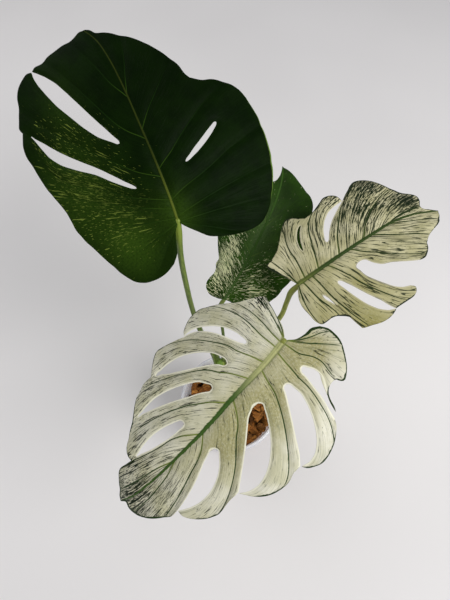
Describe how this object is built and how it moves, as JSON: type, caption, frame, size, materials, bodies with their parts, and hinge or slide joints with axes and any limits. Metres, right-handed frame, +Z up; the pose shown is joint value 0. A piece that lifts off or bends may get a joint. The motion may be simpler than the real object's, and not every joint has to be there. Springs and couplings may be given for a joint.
{
  "type": "potted variegated monstera",
  "caption": "Young variegated monstera with split, slotted leaves in cream and dark green on long stalks, in a clear plastic nursery pot filled with coconut husk chips.",
  "frame": {"origin": "centre of the pot's flat underside, on the surface it stands on", "axes": "+Z up; the picture looks along +Y and down, with +X to its right; the front leaf hangs towards -X and -Y"},
  "size_m": [0.3547, 0.3338, 0.4347],
  "materials": {
    "clear_plastic": "gloss",
    "coconut_husk": "matte",
    "root_skin": "matte",
    "stem_skin": "satin",
    "green_stalk": "satin",
    "olive_stalk": "satin",
    "dark_green_leaf": "satin",
    "marbled_leaf": "satin",
    "streaked_cream_leaf": "satin",
    "white_leaf": "satin"
  },
  "bodies": {
    "root": {"pot": "clear_plastic", "husk_chips": "coconut_husk", "roots": "root_skin", "stem": "stem_skin", "dark_leaf_stalk": "green_stalk", "dark_leaf_blade": "dark_green_leaf", "marbled_leaf_stalk": "green_stalk", "marbled_leaf_blade": "marbled_leaf", "right_leaf_stalk": "olive_stalk", "right_leaf_blade": "streaked_cream_leaf", "front_leaf_stalk": "olive_stalk", "front_leaf_blade": "white_leaf"}
  },
  "joints": []
}
